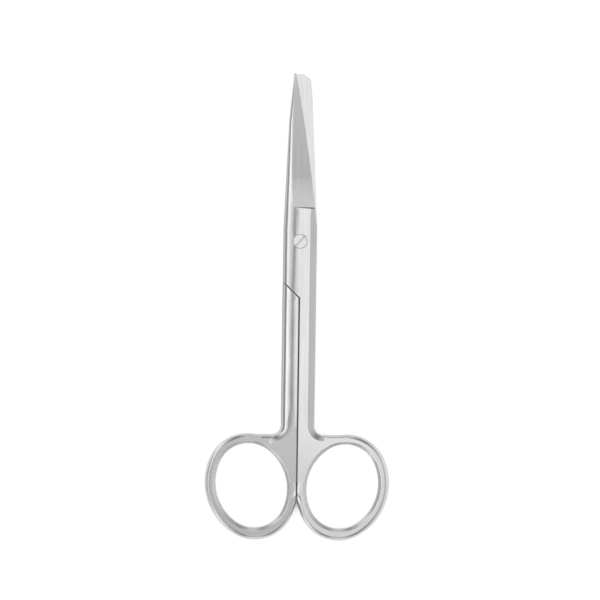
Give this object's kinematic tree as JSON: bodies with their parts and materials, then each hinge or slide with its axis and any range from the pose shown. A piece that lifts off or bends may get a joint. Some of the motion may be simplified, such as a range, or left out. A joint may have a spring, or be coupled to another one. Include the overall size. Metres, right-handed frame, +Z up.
{
  "type": "operating scissors",
  "caption": "Straight operating scissors in satin steel with one sharp and one blunt tip, a lap joint with a flush slotted screw, and finger rings; closed and lying flat.",
  "frame": {"origin": "on the pivot axis, at the level of the surface that the scissors lie on", "axes": "+Z up, towards the screw's slotted head; +Y towards the tips; +X towards the sharp half's finger ring"},
  "size_m": [0.0592, 0.1499, 0.0048],
  "materials": {
    "satin_steel": "satin, fine lengthwise grind",
    "screw_steel": "satin, faced flush"
  },
  "bodies": {
    "blunt_side": {"blunt_half": "satin_steel", "pivot_screw": "screw_steel"},
    "sharp_side": {"sharp_half": "satin_steel"}
  },
  "joints": [
    {"name": "pivot", "type": "hinge", "parent": "blunt_side", "child": "sharp_side", "pos_m": [0, 0, 0.0024], "axis": [0, 0, 1], "range_deg": [0, 134]}
  ]
}
